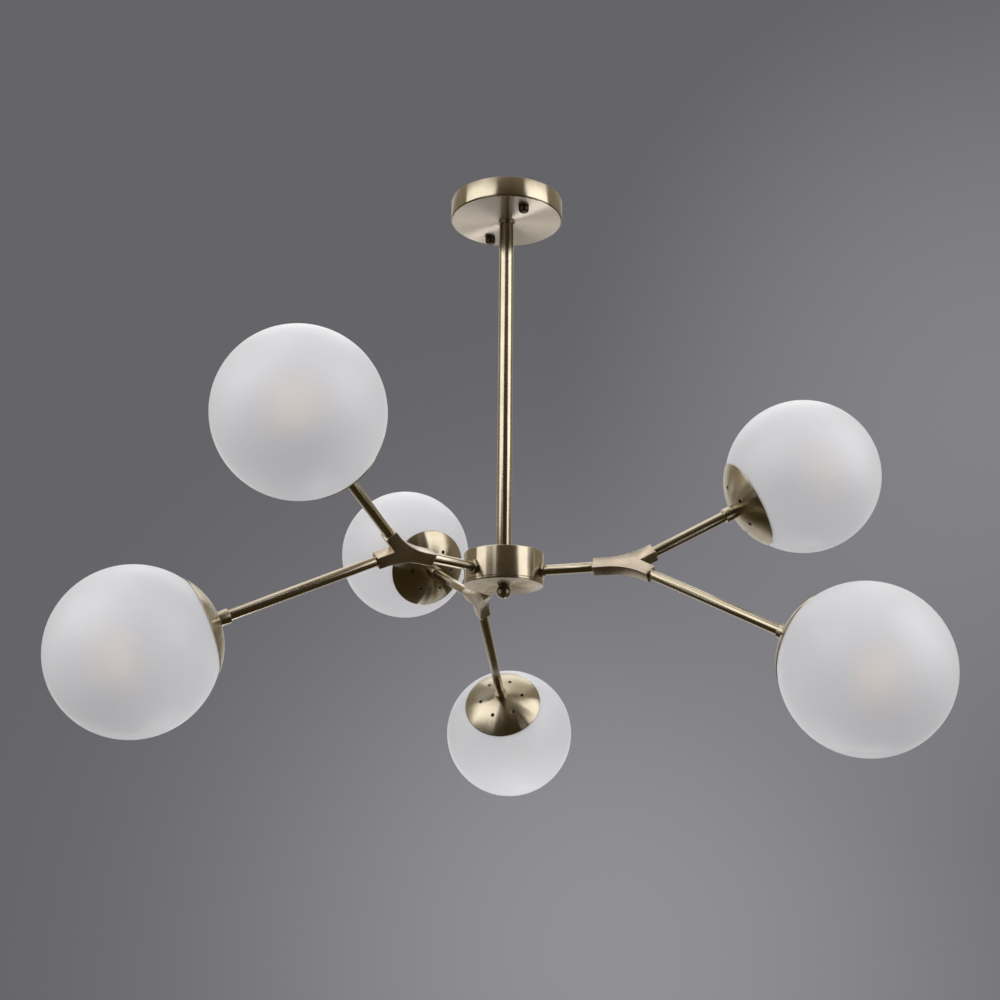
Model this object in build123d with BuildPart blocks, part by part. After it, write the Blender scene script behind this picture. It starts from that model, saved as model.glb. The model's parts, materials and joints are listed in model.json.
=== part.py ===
"""Six-globe branched pendant light on a rigid rod. Millimetres, +Z up, ceiling plane at z = 0."""
import os
from math import cos, radians, sin, sqrt, tan

from build123d import *

os.makedirs("parts", exist_ok=True)

# Globe and cup
GLOBE_R = 75.0
GLASS = 2.5
SHOULDER_R = 42.5
NECK_R = 30.0
NECK_H = 8.0
SEAL_H = 1.2
SEAL_W = 4.7
CUP_RIM_R = 44.5
CUP_DEPTH = 16.8
SHEET = 1.2
RING_WALL = 1.8
VENT_R = 2.0
VENT_RING_R = 24.6
VENTS = 6

# Lampholder and bulb
HOLDER_H = 54.0
HOLDER_R = 13.5
HOLDER_FOOT_R = 10.0
HOLDER_FOOT_H = 10.0
SOCKET_R = 7.5
SOCKET_DEPTH = 27.0
ENTRY_DEPTH = 8.0
BULB_R = 22.5
BULB_LENGTH = 78.0
BULB_CAP_R = 6.9
BULB_NECK_R = 10.0
BULB_NECK_GAP = 1.0

# Arms, collars and forks
ARM_R = 5.0
ARM_WALL = 1.2
COLLAR_R = 7.0
COLLAR_H = 10.0
FORK_REACH = 128.0
UPPER_REACH = 193.0
LOWER_REACH = 262.0
FORK_ANGLE = 32.5
FORK_W = 12.5
FORK_T = 12.5
FORK_INLET = 36.0
FORK_OUTLET = 27.0
FORK_FLARE_R = 70.0
FORK_EDGE = 0.6
INLET_DEPTH = 16.0
OUTLET_DEPTH = 14.0
WIRE_R = 3.0
END_GAP = 0.5

# Canopy, rod and hub
CANOPY_R = 59.0
CANOPY_H = 21.5
CANOPY_EDGE = 2.0
ROD_R = 7.5
ROD_WALL = 1.2
ROD_DROP = 364.5
COLLAR_RING_R = 9.0
COLLAR_RING_H = 3.0
PIPE_R = 5.0
PIPE_WALL = 1.0
PIPE_ABOVE_NUT = 1.0
ROD_NUT_FLATS = 17.0
NUT_H = 3.0
HUB_R = 39.5
HUB_H = 33.0
HUB_WALL = 1.5
HUB_EDGE = 1.0
ARM_LEVEL = 19.5
ARM_NUT_FLATS = 13.0
COVER_H = 3.0
COVER_FLOOR = 1.5
COVER_EDGE = 1.2
SPIGOT_WALL = 1.3
SPIGOT_H = 3.0
SEAM = 0.4
FINIAL_R = 7.2
FINIAL_DROP = 5.5
FINIAL_THREAD = 7.0

# Ceiling bracket and its fasteners
BRACKET_L = 100.0
BRACKET_W = 22.0
BRACKET_T = 1.5
SLOT_SPAN = 52.0
SLOT_R = 2.25
SLOT_L = 14.0
STUD_SPAN = 82.0
STUD_R = 2.0
CAP_NUT_R = 5.4
CAP_NUT_H = 8.0
CAP_NUT_DOME = 3.5
CAP_NUT_THREAD = 5.5

# Blocks that join the wiring
TERMINAL = (30.0, 16.0, 12.0)
TERMINAL_OFFSET = 34.0
SPLICE = (20.0, 12.0, 9.0)
SPLICE_OFFSET = 22.0
BLOCK_EDGE = 1.5

# Clearances
THREAD_GAP = 0.05
TURN_GAP = 0.05
SPIGOT_GAP = 0.2
GLASS_GAP = 0.5
HOLE_GAP = 0.3
SEAL_GAP = 0.05

# Where the branches point, and how far each fork is turned about its hub arm
BRANCH_TURN = -13.7
BRANCH_ANGLES = {"right": (-30.0, 60.0), "left": (-150.0, 52.0), "rear": (90.0, 55.0)}
LAMPS = {"upper": (UPPER_REACH, 1), "lower": (LOWER_REACH, -1)}

# Heights that follow from the sizes above
CANOPY_Z = -CANOPY_H
ROD_TOP = CANOPY_Z - COLLAR_RING_H
HUB_TOP = CANOPY_Z - ROD_DROP
HUB_BOTTOM = HUB_TOP - HUB_H
ARM_Z = HUB_TOP - ARM_LEVEL
FINIAL_Z = HUB_BOTTOM - FINIAL_DROP

# Shape of the cup, measured from the globe's centre along the arm
RIM_Z = -sqrt(GLOBE_R**2 - (CUP_RIM_R - SHEET) ** 2) - GLASS_GAP
APEX_Z = RIM_Z - CUP_DEPTH
CAP_R = (CUP_RIM_R**2 + CUP_DEPTH**2) / (2 * CUP_DEPTH)
CAP_Z = APEX_Z + CAP_R
SHOULDER_Z = -sqrt(GLOBE_R**2 - SHOULDER_R**2)
SEAL_Z = SHOULDER_Z - SEAL_GAP - SEAL_H
RING_R = NECK_R + GLASS_GAP
FORK_TAN = tan(radians(FORK_ANGLE / 2))
OUT = Vector(cos(radians(FORK_ANGLE)), sin(radians(FORK_ANGLE)), 0)
SIDE = Vector(-OUT.Y, OUT.X, 0)


def cap_z(radius, depth=0.0):
    """Height of the cup's sheet at a radius, a depth below its outer face."""
    return CAP_Z - sqrt((CAP_R - depth) ** 2 - radius**2)


HOLDER_Z = cap_z(HOLDER_FOOT_R, SHEET)
HOLDER_TOP = HOLDER_Z + HOLDER_H
SOCKET_Z = HOLDER_TOP - SOCKET_DEPTH
BULB_Z = SOCKET_Z + BULB_LENGTH - BULB_R
ARM_END = HOLDER_Z + ENTRY_DEPTH - END_GAP


def save(piece, name):
    """Label one piece and write it out under its own name."""
    piece.label = name
    export_step(piece, "parts/" + name + ".step")


def branch_plane(azimuth, twist):
    """Plane of a fork: origin where its arms cross, X outwards, Y towards the upper arm."""
    heading = radians(azimuth + BRANCH_TURN)
    outwards = Vector(cos(heading), sin(heading), 0)
    sideways = Vector(-sin(heading), cos(heading), 0)
    upwards = sideways * cos(radians(twist)) + Vector(0, 0, sin(radians(twist)))
    centre = outwards * FORK_REACH + Vector(0, 0, ARM_Z)
    return Plane(origin=centre, x_dir=outwards, z_dir=outwards.cross(upwards))


def lamp_plane(branch, reach, side):
    """Plane of a lamp: origin at the globe's centre, Z along the arm and away from the fork."""
    along = branch.x_dir * OUT.X + branch.y_dir * (side * OUT.Y)
    return Plane(origin=branch.origin + along * reach, x_dir=branch.z_dir, z_dir=along)


def tube(radius, wall, low, high):
    """Plain tube on the Z axis between two heights."""
    with BuildPart() as made:
        with BuildSketch(Plane.XY.offset(low)):
            Circle(radius)
            Circle(radius - wall, mode=Mode.SUBTRACT)
        extrude(amount=high - low)
    return made.part


def hex_nut(flats, bore, low):
    """Hexagon nut on the Z axis, standing on a height."""
    with BuildPart() as made:
        with BuildSketch(Plane.XY.offset(low)):
            RegularPolygon(flats / 2, 6, major_radius=False)
            Circle(bore, mode=Mode.SUBTRACT)
        extrude(amount=NUT_H)
    return made.part


# Ceiling bracket: a flat strap with two slots for the ceiling screws
with BuildPart() as ceiling_bracket:
    with BuildSketch():
        RectangleRounded(BRACKET_W, BRACKET_L, BRACKET_W / 4)
        with GridLocations(0, SLOT_SPAN, 1, 2):
            SlotOverall(SLOT_L, 2 * SLOT_R, rotation=90, mode=Mode.SUBTRACT)
        with GridLocations(0, STUD_SPAN, 1, 2):
            Circle(STUD_R + THREAD_GAP, mode=Mode.SUBTRACT)
    extrude(amount=-BRACKET_T)
save(ceiling_bracket.part, "ceiling_bracket")

# Two studs that hang from the bracket through the canopy
with BuildPart() as bracket_studs:
    with BuildSketch():
        with GridLocations(0, STUD_SPAN, 1, 2):
            Circle(STUD_R)
    extrude(amount=CANOPY_Z - CAP_NUT_THREAD + END_GAP)
save(bracket_studs.part, "bracket_studs")

# Canopy: a shallow drum, open against the ceiling
with BuildPart() as canopy:
    with BuildSketch():
        Circle(CANOPY_R)
    extrude(amount=CANOPY_Z)
    fillet(canopy.edges().group_by(Axis.Z)[0], CANOPY_EDGE)
    with BuildSketch():
        Circle(CANOPY_R - SHEET)
    extrude(amount=CANOPY_Z + SHEET, mode=Mode.SUBTRACT)
    with BuildSketch():
        Circle(PIPE_R + HOLE_GAP)
        with GridLocations(0, STUD_SPAN, 1, 2):
            Circle(STUD_R + HOLE_GAP)
    extrude(amount=CANOPY_Z, mode=Mode.SUBTRACT)
save(canopy.part, "canopy")

# Dome cap nuts under the canopy
with BuildPart() as canopy_cap_nuts:
    with BuildSketch(Plane.XY.offset(CANOPY_Z)):
        with GridLocations(0, STUD_SPAN, 1, 2):
            Circle(CAP_NUT_R)
    extrude(amount=-CAP_NUT_H)
    fillet(canopy_cap_nuts.edges().group_by(Axis.Z)[0], CAP_NUT_DOME)
    with BuildSketch(Plane.XY.offset(CANOPY_Z)):
        with GridLocations(0, STUD_SPAN, 1, 2):
            Circle(STUD_R + THREAD_GAP)
    extrude(amount=-CAP_NUT_THREAD, mode=Mode.SUBTRACT)
save(canopy_cap_nuts.part, "canopy_cap_nuts")

# Collar ring between the canopy and the rod
with BuildPart() as canopy_collar:
    with BuildSketch(Plane.XY.offset(ROD_TOP)):
        Circle(COLLAR_RING_R)
        Circle(PIPE_R + HOLE_GAP, mode=Mode.SUBTRACT)
    extrude(amount=COLLAR_RING_H)
    fillet(canopy_collar.edges().group_by(Axis.Z)[0].sort_by(SortBy.RADIUS)[-1], COLLAR_RING_H / 4)
save(canopy_collar.part, "canopy_collar")

# Down rod
save(tube(ROD_R, ROD_WALL, HUB_TOP, ROD_TOP), "down_rod")

# Threaded pipe inside the rod, with a window for the wires inside the hub
with BuildPart() as lamp_pipe:
    add(tube(PIPE_R, PIPE_WALL, HUB_BOTTOM - FINIAL_THREAD + END_GAP, CANOPY_Z + SHEET + NUT_H + PIPE_ABOVE_NUT))
    with BuildSketch(Plane.XZ):
        with Locations((0, ARM_Z)):
            Circle(WIRE_R)
    extrude(amount=PIPE_R * 2, both=True, mode=Mode.SUBTRACT)
save(lamp_pipe.part, "lamp_pipe")

# Nuts that clamp the canopy and the hub against the rod
with BuildPart() as rod_nuts:
    for low in (CANOPY_Z + SHEET, HUB_TOP - HUB_WALL - NUT_H):
        add(hex_nut(ROD_NUT_FLATS, PIPE_R + THREAD_GAP, low))
save(rod_nuts.part, "rod_nuts")

# Terminal block on the canopy's floor
with BuildPart() as terminal_block:
    with Locations((TERMINAL_OFFSET, 0, CANOPY_Z + SHEET)):
        Box(TERMINAL[1], TERMINAL[0], TERMINAL[2], align=(Align.CENTER, Align.CENTER, Align.MIN))
    fillet(terminal_block.edges().filter_by(Axis.Z), BLOCK_EDGE)
save(terminal_block.part, "terminal_block")

# Hub drum, open below
with BuildPart() as hub_drum:
    with BuildSketch(Plane.XY.offset(HUB_TOP)):
        Circle(HUB_R)
    extrude(amount=COVER_H - HUB_H)
    fillet(hub_drum.edges().group_by(Axis.Z)[-1], HUB_EDGE)
    chamfer(hub_drum.edges().group_by(Axis.Z)[0], SEAM)
    with BuildSketch(Plane.XY.offset(HUB_BOTTOM)):
        Circle(HUB_R - HUB_WALL)
    extrude(amount=HUB_H - HUB_WALL, mode=Mode.SUBTRACT)
    with BuildSketch(Plane.XY.offset(HUB_TOP)):
        Circle(PIPE_R + HOLE_GAP)
    extrude(amount=-HUB_H, mode=Mode.SUBTRACT)
    for azimuth, twist in BRANCH_ANGLES.values():
        branch = branch_plane(azimuth, twist)
        with BuildSketch(Plane(origin=(0, 0, ARM_Z), z_dir=branch.x_dir)):
            Circle(ARM_R + THREAD_GAP)
        extrude(amount=HUB_R * 1.1, mode=Mode.SUBTRACT)
save(hub_drum.part, "hub_drum")

# Hub cover: a shallow dish with a spigot that locates it in the drum
with BuildPart() as hub_cover:
    with BuildSketch(Plane.XY.offset(HUB_BOTTOM)):
        Circle(HUB_R)
    extrude(amount=COVER_H)
    fillet(hub_cover.edges().group_by(Axis.Z)[0], COVER_EDGE)
    chamfer(hub_cover.edges().group_by(Axis.Z)[-1], SEAM)
    with BuildSketch(Plane.XY.offset(HUB_BOTTOM + COVER_H)):
        Circle(HUB_R - HUB_WALL - SPIGOT_GAP)
    extrude(amount=SPIGOT_H)
    with BuildSketch(Plane.XY.offset(HUB_BOTTOM + COVER_FLOOR)):
        Circle(HUB_R - HUB_WALL - SPIGOT_GAP - SPIGOT_WALL)
    extrude(amount=COVER_H + SPIGOT_H, mode=Mode.SUBTRACT)
    with BuildSketch(Plane.XY.offset(HUB_BOTTOM)):
        Circle(PIPE_R + HOLE_GAP)
    extrude(amount=COVER_H, mode=Mode.SUBTRACT)
save(hub_cover.part, "hub_cover")

# Ball finial screwed onto the pipe's end
with BuildPart() as finial:
    with Locations((0, 0, FINIAL_Z)):
        Sphere(FINIAL_R)
    with BuildSketch(Plane.XY.offset(HUB_BOTTOM)):
        Circle(2 * FINIAL_R)
    extrude(amount=FINIAL_R, mode=Mode.SUBTRACT)
    with BuildSketch(Plane.XY.offset(HUB_BOTTOM)):
        Circle(PIPE_R + THREAD_GAP)
    extrude(amount=-FINIAL_THREAD, mode=Mode.SUBTRACT)
save(finial.part, "finial")

# Connector block on the cover's floor
with BuildPart() as hub_connector:
    with Locations(Location((0, 0, HUB_BOTTOM + COVER_FLOOR), (0, 0, BRANCH_TURN))):
        with Locations((0, -SPLICE_OFFSET, 0)):
            Box(*SPLICE, align=(Align.CENTER, Align.CENTER, Align.MIN))
    fillet(hub_connector.edges().filter_by(Axis.Z), BLOCK_EDGE)
save(hub_connector.part, "hub_connector")

# Hub arms and their nuts, one inside the wall and one outside
ARM_NUT_REACH = ARM_NUT_FLATS / sqrt(3)
INNER_NUT = sqrt((HUB_R - HUB_WALL) ** 2 - ARM_NUT_REACH**2) - NUT_H
HUB_ARM_END = FORK_REACH - FORK_INLET + INLET_DEPTH - END_GAP
hub_arm = tube(ARM_R, ARM_WALL, INNER_NUT - PIPE_ABOVE_NUT, HUB_ARM_END)
with BuildPart() as hub_arm_nuts:
    for name, (azimuth, twist) in BRANCH_ANGLES.items():
        heading = Plane(origin=(0, 0, ARM_Z), z_dir=branch_plane(azimuth, twist).x_dir)
        save(heading.location * hub_arm, name + "_hub_arm")
        for low in (INNER_NUT, HUB_R):
            add(heading.location * hex_nut(ARM_NUT_FLATS, ARM_R + THREAD_GAP, low))
save(hub_arm_nuts.part, "hub_arm_nuts")

# Fork: a flat casting with hollowed sides and a V notch, bored for three tubes
FLARE_START = -(FORK_W / 2 + FORK_FLARE_R) * FORK_TAN
with BuildPart() as fork:
    with BuildSketch():
        with BuildLine():
            inlet = Line((-FORK_INLET, 0), (-FORK_INLET, FORK_W / 2))
            shank = Line(inlet @ 1, (FLARE_START, FORK_W / 2))
            flare = JernArc(shank @ 1, (1, 0), FORK_FLARE_R, FORK_ANGLE)
            cheek = Line(flare @ 1, OUT * FORK_OUTLET + SIDE * (FORK_W / 2))
            outlet = Line(cheek @ 1, OUT * FORK_OUTLET - SIDE * (FORK_W / 2))
            Line(outlet @ 1, (FORK_W / 2 / OUT.Y, 0))
            mirror(about=Plane.XZ)
        make_face()
    extrude(amount=FORK_T / 2, both=True)
    rims = fork.edges().group_by(Axis.Z)
    fillet(rims[0] + rims[-1], FORK_EDGE)
    with BuildSketch(Plane(origin=(-FORK_INLET, 0, 0), z_dir=(1, 0, 0))) as inlet_bore:
        Circle(ARM_R + TURN_GAP)
    extrude(amount=INLET_DEPTH, mode=Mode.SUBTRACT)
    with BuildSketch(Plane(origin=(-FORK_INLET, 0, 0), z_dir=(1, 0, 0))) as inlet_way:
        Circle(WIRE_R)
    extrude(amount=FORK_INLET, mode=Mode.SUBTRACT)
    for side in (1, -1):
        along = Vector(OUT.X, side * OUT.Y, 0)
        mouth = Plane(origin=along * FORK_OUTLET, z_dir=along * -1)
        with BuildSketch(mouth) as outlet_bore:
            Circle(ARM_R + THREAD_GAP)
        extrude(amount=OUTLET_DEPTH, mode=Mode.SUBTRACT)
        with BuildSketch(mouth) as outlet_way:
            Circle(WIRE_R)
        extrude(amount=FORK_OUTLET, mode=Mode.SUBTRACT)

# Cup: a spherical cap with vents, and a threaded ring inside for the glass neck
with BuildPart() as cup:
    with BuildSketch(Plane.XZ):
        with BuildLine():
            rim_in = sqrt((CAP_R - SHEET) ** 2 - (RIM_Z - CAP_Z) ** 2)
            outer = RadiusArc((0, APEX_Z), (CUP_RIM_R, RIM_Z), -CAP_R)
            rim = Line(outer @ 1, (rim_in, RIM_Z))
            inner = RadiusArc(rim @ 1, (0, APEX_Z + SHEET), CAP_R - SHEET)
            Line(inner @ 1, outer @ 0)
        make_face()
    revolve(axis=Axis.Z)
    with BuildSketch(Plane.XZ):
        with Locations((RING_R, SEAL_Z)):
            root = cap_z(RING_R, SHEET) - SHEET / 8
            Rectangle(RING_WALL, SEAL_Z - root, align=(Align.MIN, Align.MAX))
    revolve(axis=Axis.Z)
    with BuildSketch(Plane.XY.offset(APEX_Z)):
        Circle(ARM_R + THREAD_GAP)
        with PolarLocations(VENT_RING_R, VENTS, start_angle=180 / VENTS):
            Circle(VENT_R)
    extrude(amount=CUP_DEPTH, mode=Mode.SUBTRACT)

# Globe: a blown shell with a flat shoulder and a short neck
with BuildPart() as globe:
    with BuildSketch(Plane.XZ):
        with BuildLine():
            inside = GLOBE_R - GLASS
            floor_z = SHOULDER_Z + GLASS
            floor_r = sqrt(inside**2 - floor_z**2)
            skin = ThreePointArc((0, GLOBE_R), (GLOBE_R, 0), (SHOULDER_R, SHOULDER_Z))
            shoulder = Line(skin @ 1, (NECK_R, SHOULDER_Z))
            neck = Line(shoulder @ 1, (NECK_R, SHOULDER_Z - NECK_H))
            lip = Line(neck @ 1, (NECK_R - GLASS, SHOULDER_Z - NECK_H))
            throat = Line(lip @ 1, (NECK_R - GLASS, floor_z))
            floor = Line(throat @ 1, (floor_r, floor_z))
            hollow = ThreePointArc(floor @ 1, (inside, 0), (0, inside))
            Line(hollow @ 1, skin @ 0)
        make_face()
    revolve(axis=Axis.Z)

# Seal ring under the shoulder
seal = tube(NECK_R + HOLE_GAP + SEAL_W, SEAL_W, SEAL_Z, SEAL_Z + SEAL_H)

# Collar on the arm behind the cup
cup_collar = tube(COLLAR_R, COLLAR_R - ARM_R - THREAD_GAP, APEX_Z - COLLAR_H, APEX_Z)

# Lampholder: screwed onto the arm's end, with a socket for the bulb's cap
with BuildPart() as lampholder:
    with BuildSketch(Plane.XZ):
        with BuildLine():
            Polyline(
                (ARM_R + THREAD_GAP, HOLDER_Z),
                (HOLDER_FOOT_R, HOLDER_Z),
                (HOLDER_R, HOLDER_Z + HOLDER_FOOT_H),
                (HOLDER_R, HOLDER_TOP),
                (SOCKET_R, HOLDER_TOP),
                (SOCKET_R, SOCKET_Z),
                (WIRE_R, SOCKET_Z),
                (WIRE_R, HOLDER_Z + ENTRY_DEPTH),
                (ARM_R + THREAD_GAP, HOLDER_Z + ENTRY_DEPTH),
                close=True,
            )
        make_face()
    revolve(axis=Axis.Z)

# Bulb: round glass on a screw cap
with BuildPart() as bulb:
    with BuildSketch(Plane.XZ):
        with BuildLine():
            glass_z = HOLDER_TOP + BULB_NECK_GAP
            waist_z = BULB_Z - BULB_R * 0.6
            crown = ThreePointArc((0, BULB_Z + BULB_R), (BULB_R, BULB_Z), (BULB_R * 0.8, waist_z))
            cone_z = waist_z - (BULB_R * 0.8 - BULB_NECK_R) / 0.75
            cone = Line(crown @ 1, (BULB_NECK_R, cone_z))
            Polyline(
                cone @ 1,
                (BULB_NECK_R, glass_z),
                (BULB_CAP_R, glass_z),
                (BULB_CAP_R, SOCKET_Z + BULB_CAP_R / 2),
                (BULB_CAP_R / 2, SOCKET_Z),
                (0, SOCKET_Z),
                crown @ 0,
            )
        make_face()
    revolve(axis=Axis.Z)

# Place a fork, two arms and two lamps on each branch
for name, (azimuth, twist) in BRANCH_ANGLES.items():
    branch = branch_plane(azimuth, twist)
    save(branch.location * fork.part, name + "_fork")
    with BuildPart() as cup_collars:
        for level, (reach, side) in LAMPS.items():
            lamp = lamp_plane(branch, reach, side).location
            here = name + "_" + level
            arm_start = FORK_OUTLET - OUTLET_DEPTH + END_GAP - reach
            save(lamp * tube(ARM_R, ARM_WALL, arm_start, ARM_END), here + "_arm")
            save(lamp * cup.part, here + "_cup")
            save(lamp * lampholder.part, here + "_lampholder")
            save(lamp * bulb.part, here + "_bulb")
            save(lamp * seal, here + "_seal")
            save(lamp * globe.part, here + "_globe")
            add(lamp * cup_collar)
    save(cup_collars.part, name + "_cup_collars")
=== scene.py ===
# %% [markdown]
# # A branched pendant light
# A round canopy sits against the ceiling, and a stiff rod hangs from it. At the rod's foot a drum sends
# out three arms, each arm ends in a fork, and each fork carries two lamps with frosted globes. The solid
# model is loaded first, because it gives every place and every axis. Each visible piece is then
# remodelled over it with finer curves and its own finish. Working over a fixed model means that no piece
# has to be lined up by eye.

# %% Load the solid model
import json
from math import acos, asin, atan2, cos, inf, pi, radians, sin, sqrt, tan

import bmesh
import bpy
from mathutils import Matrix, Quaternion, Vector


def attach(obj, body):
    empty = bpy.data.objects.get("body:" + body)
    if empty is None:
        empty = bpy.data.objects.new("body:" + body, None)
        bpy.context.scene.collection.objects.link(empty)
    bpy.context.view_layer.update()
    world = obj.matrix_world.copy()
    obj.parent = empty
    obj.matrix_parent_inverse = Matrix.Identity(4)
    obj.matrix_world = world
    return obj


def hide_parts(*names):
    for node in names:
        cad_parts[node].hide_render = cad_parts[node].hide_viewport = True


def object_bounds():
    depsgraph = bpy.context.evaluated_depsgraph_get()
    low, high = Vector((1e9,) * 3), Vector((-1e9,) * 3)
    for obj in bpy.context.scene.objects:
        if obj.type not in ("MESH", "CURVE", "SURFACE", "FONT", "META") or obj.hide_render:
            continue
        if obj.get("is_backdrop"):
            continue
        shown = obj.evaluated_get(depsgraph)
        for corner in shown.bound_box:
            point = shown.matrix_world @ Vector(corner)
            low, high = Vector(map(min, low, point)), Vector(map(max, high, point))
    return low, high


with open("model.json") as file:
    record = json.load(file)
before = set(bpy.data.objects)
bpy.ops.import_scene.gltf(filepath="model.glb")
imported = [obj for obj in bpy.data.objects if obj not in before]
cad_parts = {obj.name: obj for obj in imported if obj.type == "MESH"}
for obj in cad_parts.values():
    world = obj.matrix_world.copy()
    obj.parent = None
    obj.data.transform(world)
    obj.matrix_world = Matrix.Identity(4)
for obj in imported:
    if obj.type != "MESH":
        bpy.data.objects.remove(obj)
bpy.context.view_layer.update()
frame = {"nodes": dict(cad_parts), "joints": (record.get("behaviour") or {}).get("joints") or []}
scene = bpy.context.scene
scene.view_settings.view_transform = "Standard"
joints = {joint["name"]: joint for joint in frame["joints"]}

# %% [markdown]
# ## The camera
# The picture was taken from below the lamps, a little to the left, looking up. The camera could be aimed
# at a point, but it would then have no tilt of its own. Turning it by its heading, its pitch and its
# roll, one after the other, sets all three, and the focal length follows from how fast the globes shrink
# with distance.

# %% Camera
VIEW_HEADING = 64.746
VIEW_PITCH = 16.011
VIEW_ROLL = 0.529
EYE = Vector((-0.5941, -1.2492, -0.7271))
FILM_WIDTH = 36.0
FOCAL_LENGTH = 51.448
camera_data = bpy.data.cameras.new("photo_camera")
camera_data.sensor_fit = "HORIZONTAL"
camera_data.sensor_width = FILM_WIDTH
camera_data.lens = FOCAL_LENGTH
camera = bpy.data.objects.new("photo_camera", camera_data)
scene.collection.objects.link(camera)
heading = Matrix.Rotation(radians(VIEW_HEADING - 90), 4, "Z")
pitch = Matrix.Rotation(radians(90 + VIEW_PITCH), 4, "X")
roll = Matrix.Rotation(radians(VIEW_ROLL), 4, "Z")
camera.matrix_world = Matrix.Translation(EYE) @ heading @ pitch @ roll
scene.camera = camera
print("camera", round(EYE.length, 3), "m from the ceiling plate")

# %% [markdown]
# ## Tools for nodes
# Every finish here, and the studio too, is a small network of nodes. With a line for every value and
# every link a network is long and hard to follow. These helpers make a node and fill its inputs at once,
# with plain values or with the outputs of earlier nodes, so a network reads from its source to its end.

# %% Node tools
def feed(tree, slot, value):
    """Give an input a plain value, or link another node's output to it."""
    if isinstance(value, bpy.types.NodeSocket):
        tree.links.new(value, slot)
    elif slot.type == "RGBA":
        slot.default_value = (*value, 1)
    else:
        slot.default_value = value


def node(tree, kind, group=None, **inputs):
    """A shader node of a kind. Underscores in an input's name stand for spaces."""
    made = tree.nodes.new("ShaderNode" + kind)
    if group:
        made.node_tree = group
    for label, value in inputs.items():
        feed(tree, made.inputs[label.replace("_", " ")], value)
    return made


def sums(tree, operation, *values, kind="Math", result="Value"):
    """The result of a sum. The operation decides which inputs take part, so it is set first."""
    made = node(tree, kind)
    made.operation = operation
    for slot, value in zip([slot for slot in made.inputs if slot.enabled], values):
        feed(tree, slot, value)
    return made.outputs[result]


def vectors(tree, operation, *values, result="Vector"):
    """The result of a sum on vectors."""
    return sums(tree, operation, *values, kind="VectorMath", result=result)


def ramp(tree, value, low, high, start=0.0, end=1.0):
    """A value that goes from a start to an end between two readings of another."""
    made = node(tree, "MapRange", Value=value, From_Min=low, From_Max=high, To_Min=start, To_Max=end)
    return made.outputs["Result"]


def blend(tree, amount, first, second):
    """A colour that goes from a first to a second one."""
    made = node(tree, "Mix")
    made.data_type = "RGBA"
    for label, value in (("Factor", amount), ("A", first), ("B", second)):
        feed(tree, made.inputs[label], value)
    return made.outputs["Result"]


def new_material(name):
    """A node material without nodes, and its tree."""
    material = bpy.data.materials.new(name)
    material.use_nodes = True
    material.node_tree.nodes.clear()
    return material, material.node_tree


def surface(tree, **inputs):
    """End a material with one shader."""
    skin = node(tree, "BsdfPrincipled", **inputs)
    node(tree, "OutputMaterial", Surface=skin.outputs["BSDF"])


print("node tools ready")

# %% [markdown]
# ## The studio
# Brushed brass shows the room more than its own colour, so the lamps matter as much as the finish. Two
# tall soft boxes stand left and right of the camera and leave a dark gap between them, which is the dark
# stripe down every tube. They are placed by their angle from the camera, as seen from the object, because
# a reflection moves with that angle and hardly with the distance. Weaker boxes above, behind and on the
# floor light the glass. The one on the floor would mirror in the tubes as a bright line, so it is hidden
# from reflections.

# %% Soft boxes
MIDDLE = Vector((0, 0, -0.36))
FLOOR_Z = -1.25
LOW_ANGLE = 172
LOW_REACH = 0.40


def beside_camera(angle, distance, height):
    """A point at an angle to the right of the camera, seen from the object."""
    turn = radians(VIEW_HEADING + 180 + angle)
    return Vector((cos(turn) * distance, sin(turn) * distance, height))


def soft_box(name, place, width, height, glow, aim=MIDDLE):
    """A rectangular lamp that faces the object and shows in no view. Glow is how bright its face looks."""
    data = bpy.data.lights.new(name, "AREA")
    data.shape = "RECTANGLE"
    data.size = width
    data.size_y = height
    data.energy = glow * pi * width * height
    lamp = bpy.data.objects.new(name, data)
    scene.collection.objects.link(lamp)
    lamp.visible_camera = False
    lamp.location = place
    lamp.rotation_euler = (aim - place).to_track_quat("-Z", "Y").to_euler()
    return lamp


soft_box("left_box", beside_camera(-56, 2.3, 0.74), width=2.8, height=2.0, glow=1.65)
soft_box("right_box", beside_camera(65, 2.3, 0.62), width=2.0, height=2.3, glow=1.90)
soft_box("top_box", Vector((0.2, 0.4, 1.5)), width=2.2, height=2.2, glow=0.35)
soft_box("back_box", beside_camera(180, 1.9, 1.95), width=2.6, height=1.2, glow=0.9,
         aim=beside_camera(180, 1.2, FLOOR_Z))
low_box = soft_box("low_box", beside_camera(LOW_ANGLE, LOW_REACH, FLOOR_Z + 0.03), width=0.5, height=0.5,
                   glow=3.4, aim=beside_camera(LOW_ANGLE, LOW_REACH, 0))
low_box.visible_glossy = False

# %% Floor
FLOOR_R = 4.6
floor_paint, tree = new_material("pale_floor")
mottle = node(tree, "TexNoise", Scale=3.0)
tint = blend(tree, mottle.outputs["Fac"], (0.54, 0.54, 0.54), (0.58, 0.58, 0.58))
surface(tree, Base_Color=tint, Roughness=0.9)
shape = bmesh.new()
bmesh.ops.create_circle(shape, cap_ends=True, segments=96, radius=FLOOR_R)
bmesh.ops.translate(shape, vec=(0, 0, FLOOR_Z), verts=shape.verts)
floor_mesh = bpy.data.meshes.new("floor")
shape.to_mesh(floor_mesh)
shape.free()
floor_mesh.materials.append(floor_paint)
floor = bpy.data.objects.new("floor", floor_mesh)
scene.collection.objects.link(floor)
floor.visible_glossy = False
floor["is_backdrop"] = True
print("floor at", FLOOR_Z)

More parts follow.
